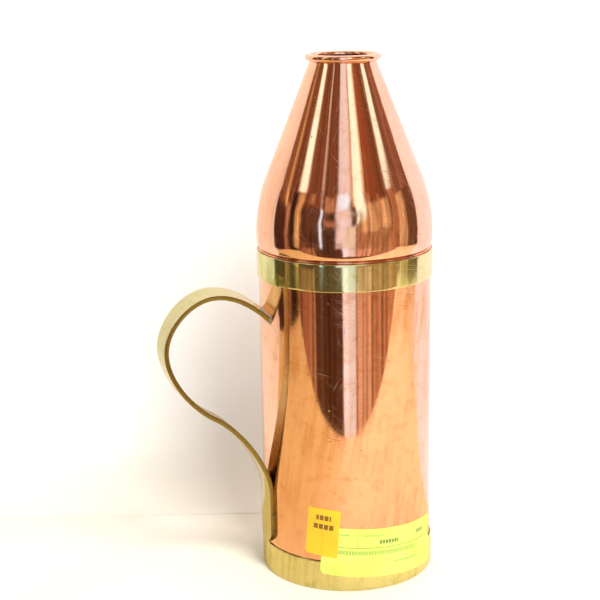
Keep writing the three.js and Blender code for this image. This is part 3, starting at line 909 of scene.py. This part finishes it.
# What stands round the table as the polished metal sees it: left and right edge in degrees from
# the camera's side, bottom and top in degrees above level, and colour. A sixth value is a lean to
# the right, in degrees per degree upwards. Later ones stand in front of earlier ones.
ROOM = [
    (-105, -55, 10, 60, BROWN),            # a reddish wall on the left, dark below
    (-105, -84, -30, 9, (0.075, 0.026, 0.018)),
    (-85, -78, -30, 12, RUST),
    (-86, -81, 9, 26, GLOW, -0.35),        # a narrow lit edge
    (-78, -69, -30, 27, NIGHT),
    (-69.5, -61, -12, 28, GLOW, 0.1),      # a lit doorway, with a lamp above it
    (-59, -35, 12, 60, BROWN),
    (-50, -44, 16, 26, RUST),
    (-59, -35, -30, 12, DUSK),
    (-34, -30.5, 10, 60, (0.72, 0.62, 0.60), -0.06),
    (-29, -13, 24, 60, BROWN),
    (-28, -14, 6, 24, RUST),
    (-29, -12, -30, 9, (0.075, 0.04, 0.022)),
    (7, 9.5, 23, 39, TAN),
    (14, 29, -12, 10, RUST),
    (20, 30, 2, 16, TAN),
    (28, 61, 17, 60, BROWN),               # furniture on the right, lit from the window
    (30, 45, 18, 60, (0.32, 0.10, 0.04), 0.05),
    (-75, -56.5, 22, 60, RUST),            # warm walls behind the lamps
    (9, 31, 14, 60, TAN),
    (58.5, 77, 24, 44, RUST, 0.1),
    (30, 35, 16, 27, RUST),
    (29, 61, 1, 18, TAN),
    (29, 61, -30, 1, (0.42, 0.25, 0.125)),
    (46, 49, -30, 24, RUST),
    (61, 73, -30, 25, (0.44, 0.21, 0.10)),
    (73, 87, -30, 18, TAN),
    (74, 112, 18, 60, (0.30, 0.14, 0.085)),
    (87, 112, -30, 16, (0.16, 0.08, 0.042)),
    (-66, -40, -30, -12, (0.32, 0.14, 0.08)),     # and what shows just above the table's edge
    (-49, -40, -30, -12, RUST),
    (-40, -4, -30, -12, (0.09, 0.042, 0.022)),
    (-18, -9, -30, -12, DUSK),
    (12, 34, -30, -12, (0.74, 0.46, 0.33)),
    (34, 62, -30, -12, (0.50, 0.26, 0.15)),
]
LIT = [                                    # the brightest things, in front of the rest
    (-72, -59.5, 24, 60, LAMP),
    (-34, -30.5, -12, 12, WINDOW, -0.06),  # a slit of daylight
    (-12.5, 6, -12, 60, SHEER, 0.05),      # the window, brightest in the middle
    (-8, 5, 12, 28, WINDOW),
    (-1, 13, -12, 9, (0.94, 0.92, 0.80)),
    (12.5, 27, 10, 60, LAMP),
    (61, 74, 26, 42, LAMP, 0.1),
    (-4, 12, -30, -12, SHEER),
    (-4, 3, -30, -12, (1.3, 1.28, 1.5)),
]


def card(tree, behind, compass, rise, left, right, bottom, top, colour, lean=0.0):
    """A soft-edged, leaning rectangle of colour in front of what is behind it."""
    across = calc(tree, "MULTIPLY_ADD", rise, -lean, compass)
    mask = inside(tree, across, left, right, min(2.0, (right - left) * 0.35))
    mask = product(tree, mask, inside(tree, rise, bottom, top, 1.8))
    return blend(tree, mask, behind, colour)


def build_world():
    """A plain pale surround, and a room with a window and lamps that only the metal mirrors."""
    world = bpy.data.worlds.new("studio")
    bpy.context.scene.world = world
    world.use_nodes = True
    tree = world.node_tree
    tree.nodes.clear()
    look = node(tree, "TexCoord").outputs["Generated"]
    parts = node(tree, "SeparateXYZ", {0: facing_camera(tree, look)})
    toward = product(tree, parts.outputs[1], -1.0)
    compass = product(tree, calc(tree, "ARCTAN2", parts.outputs[0], toward), math.degrees(1))
    rise = product(tree, calc(tree, "ARCSINE", parts.outputs[2]), math.degrees(1))
    bend = calc(tree, "SUBTRACT", noise(tree, look, 7.0, 2.0), 0.5)
    compass_bent = calc(tree, "MULTIPLY_ADD", bend, 5.0, compass)
    rise_bent = calc(tree, "MULTIPLY_ADD", bend, -6.0, rise)
    room = DUSK
    for shape in ROOM:
        room = card(tree, room, compass_bent, rise_bent, *shape)
    streaks = node(tree, "CombineXYZ", {0: compass, 1: rise}).outputs[0]
    streaks = node(tree, "Mapping", {"Vector": streaks, "Scale": (0.35, 0.03, 1)}).outputs[0]
    streaks = between(tree, noise(tree, streaks, 1.0, 6.0, 0.65), 0.32, 0.68)
    room = times(tree, room, blend(tree, streaks, (0.45, 0.35, 0.29), (1.65, 1.55, 1.42)))
    for shape in LIT:
        room = card(tree, room, compass_bent, rise_bent, *shape)
    room = blend(tree, between(tree, rise, 46, 62), room, CEILING)
    room = blend(tree, between(tree, compass, -105.8, -104.2, 1.0, 0.0), room, WALL_LEFT)
    room = blend(tree, between(tree, compass, 110.2, 111.8), room, WALL_RIGHT)
    mirrored = node(tree, "Background", {"Color": room}).outputs[0]
    plain = blend(tree, ray(tree, "Camera"), DAYLIGHT, PALE)
    plain = node(tree, "Background", {"Color": plain}).outputs[0]
    mixed = node(tree, "MixShader", {0: ray(tree, "Glossy"), 1: plain, 2: mirrored})
    output = node(tree, "OutputWorld")
    tree.links.new(mixed.outputs[0], output.inputs[0])


def stage_object(name, vertices, faces, material):
    """A smooth-shaded object for the stage, with its material, attached to no body."""
    mesh = bpy.data.meshes.new(name)
    mesh.from_pydata(vertices, [], faces)
    mesh.shade_smooth()
    mesh.materials.append(material)
    made = link_new(name, mesh)
    return made


def pale_paint(name, colour, clouded):
    """A pale, faintly clouded finish. Returns its material, tree and shader, the place seen from the
    camera's side as (right, back, up), and the colour."""
    material, tree, shader = new_material(name)
    place = node(tree, "TexCoord").outputs["Object"]
    spread = node(tree, "SeparateXYZ", {0: facing_camera(tree, place)})
    cloud = noise(tree, place, 14.0, 4.0)
    tint = blend(tree, between(tree, cloud, 0.3, 0.75), colour, clouded)
    shader.inputs["Roughness"].default_value = 0.6
    return material, tree, shader, spread, tint


def build_floor():
    """A pale table that fades into the surround away from the vessel. The metal sees it as warmer,
    and sees it end a little way off."""
    paint = pale_paint("pale_table", (0.90, 0.85, 0.74), (0.86, 0.81, 0.69))
    material, tree, shader, spread, tint = paint
    across = spread.outputs[0]
    glossy = ray(tree, "Glossy")
    # painted reflection: the table's colour as the metal mirrors it, darker and more orange to the left,
    # paler to the right
    warm = blend(tree, between(tree, across, -0.15, 0.06), (0.69, 0.48, 0.20), (0.86, 0.63, 0.38))
    tree.links.new(blend(tree, glossy, tint, warm), shader.inputs["Base Color"])
    past = calc(tree, "LESS_THAN", spread.outputs[1], -TABLE_FRONT)
    past = calc(tree, "MAXIMUM", past, calc(tree, "LESS_THAN", across, -TABLE_LEFT))
    past = calc(tree, "MAXIMUM", past, calc(tree, "GREATER_THAN", across, TABLE_RIGHT))
    place = node(tree, "TexCoord").outputs["Object"]
    away = node(tree, "VectorMath", {0: place}, operation="LENGTH").outputs["Value"]
    faded = product(tree, between(tree, away, 0.5, 1.6), ray(tree, "Camera"))
    gone = calc(tree, "MAXIMUM", product(tree, past, glossy), faded)
    mix_into_output(tree, gone, shader, node(tree, "BsdfTransparent"))
    size = 30.0
    corners = [(-size, -size, 0), (size, -size, 0), (size, size, 0), (-size, size, 0)]
    stage_object("floor", corners, [(0, 1, 2, 3)], material)


def build_backdrop():
    """A white board that stands close behind and curves forward at its foot. The camera can't see
    it from its back, and the metal sees it as pinker."""
    bend_r = 0.08
    half_width = 0.6
    top = 0.9
    foot = 0.0002                     # just above the table
    outline = chain(
        arc((BOARD_BEHIND - bend_r, foot + bend_r), bend_r, -90, 0, 12),
        line((BOARD_BEHIND, foot + bend_r), (BOARD_BEHIND, top), 2),
    )
    turn = Matrix.Rotation(math.radians(CAMERA_YAW), 3, "Z")
    sides = (-half_width, half_width)
    vertices = [turn @ Vector((side, away, up)) for side in sides for away, up in outline]
    count = len(outline)
    faces = [(i + 1, i, count + i, count + i + 1) for i in range(count - 1)]
    paint = pale_paint("white_board", (0.95, 0.945, 0.93), (0.93, 0.92, 0.90))
    material, tree, shader, spread, tint = paint
    seen = blend(tree, between(tree, spread.outputs[2], 0.0, 0.07), (0.89, 0.84, 0.73), tint)
    across = between(tree, spread.outputs[0], -0.1, 0.1)
    mirrored = blend(tree, across, (0.86, 0.75, 0.66), (0.86, 0.70, 0.74))
    tree.links.new(blend(tree, ray(tree, "Glossy"), seen, mirrored), shader.inputs["Base Color"])
    backfacing = node(tree, "NewGeometry").outputs["Backfacing"]
    hidden = product(tree, backfacing, ray(tree, "Camera"))
    mix_into_output(tree, hidden, shader, node(tree, "BsdfTransparent"))
    board = stage_object("backdrop", vertices, faces, material)
    board.visible_shadow = False


def build_lights():
    """A key light high in front, a little to the camera's right, and a broad, weaker fill further
    right. The metal mirrors neither."""
    middle = Vector((0, 0, CONE_TOP * 0.4))
    key = ("key", Vector((0.02, -0.85, 1.19)), 0.4, 18.0)
    fill = ("fill", Vector((0.55, -1.0, 1.3)), 1.4, 6.0)
    for name, place, size, power in (key, fill):
        data = bpy.data.lights.new(name, "AREA")
        data.shape = "SQUARE"
        data.size = size
        data.energy = power
        lamp = link_new(name, data)
        lamp.location = place
        lamp.rotation_mode = "QUATERNION"
        lamp.rotation_quaternion = (middle - place).to_track_quat("-Z", "Y")
        lamp.visible_glossy = False


def build_camera():
    data = bpy.data.cameras.new("camera")
    data.lens = CAMERA_LENS
    data.sensor_width = CAMERA_SENSOR
    data.clip_start = 0.01
    data.clip_end = 100.0
    camera = link_new("camera", data)
    turn = Matrix.Rotation(math.radians(CAMERA_YAW), 4, "Z")
    tip = Matrix.Rotation(math.radians(90 + CAMERA_PITCH), 4, "X")
    lean = Matrix.Rotation(math.radians(CAMERA_ROLL), 4, "Z")
    camera.matrix_world = Matrix.Translation(CAMERA_PLACE) @ turn @ tip @ lean
    bpy.context.scene.camera = camera


# ---- the whole scene ----
build_body()
build_bands()
build_floor_pan()
fillet("floor_solder_line", PAN_R + CLEARANCE, PAN_TOP + CLEARANCE, PAN_SHEET, 1.8 * MM,
       "vessel", "floor_solder")
build_strap()
build_handle_solder()
build_papers()
build_cone()
build_rim_wire()
build_spigot()
fillet("spigot_solder_line", SPIGOT_NECK + CLEARANCE, SPIGOT_SOLDER_FOOT, 0.6 * MM, 2.2 * MM,
       "top", "spigot_solder", inward=False)
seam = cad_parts["side_seam_solder"]
seam.data.materials.clear()
seam.data.materials.append(SOLDER)

build_world()
build_floor()
build_backdrop()
build_lights()
build_camera()
bpy.context.scene.view_settings.view_transform = "Standard"
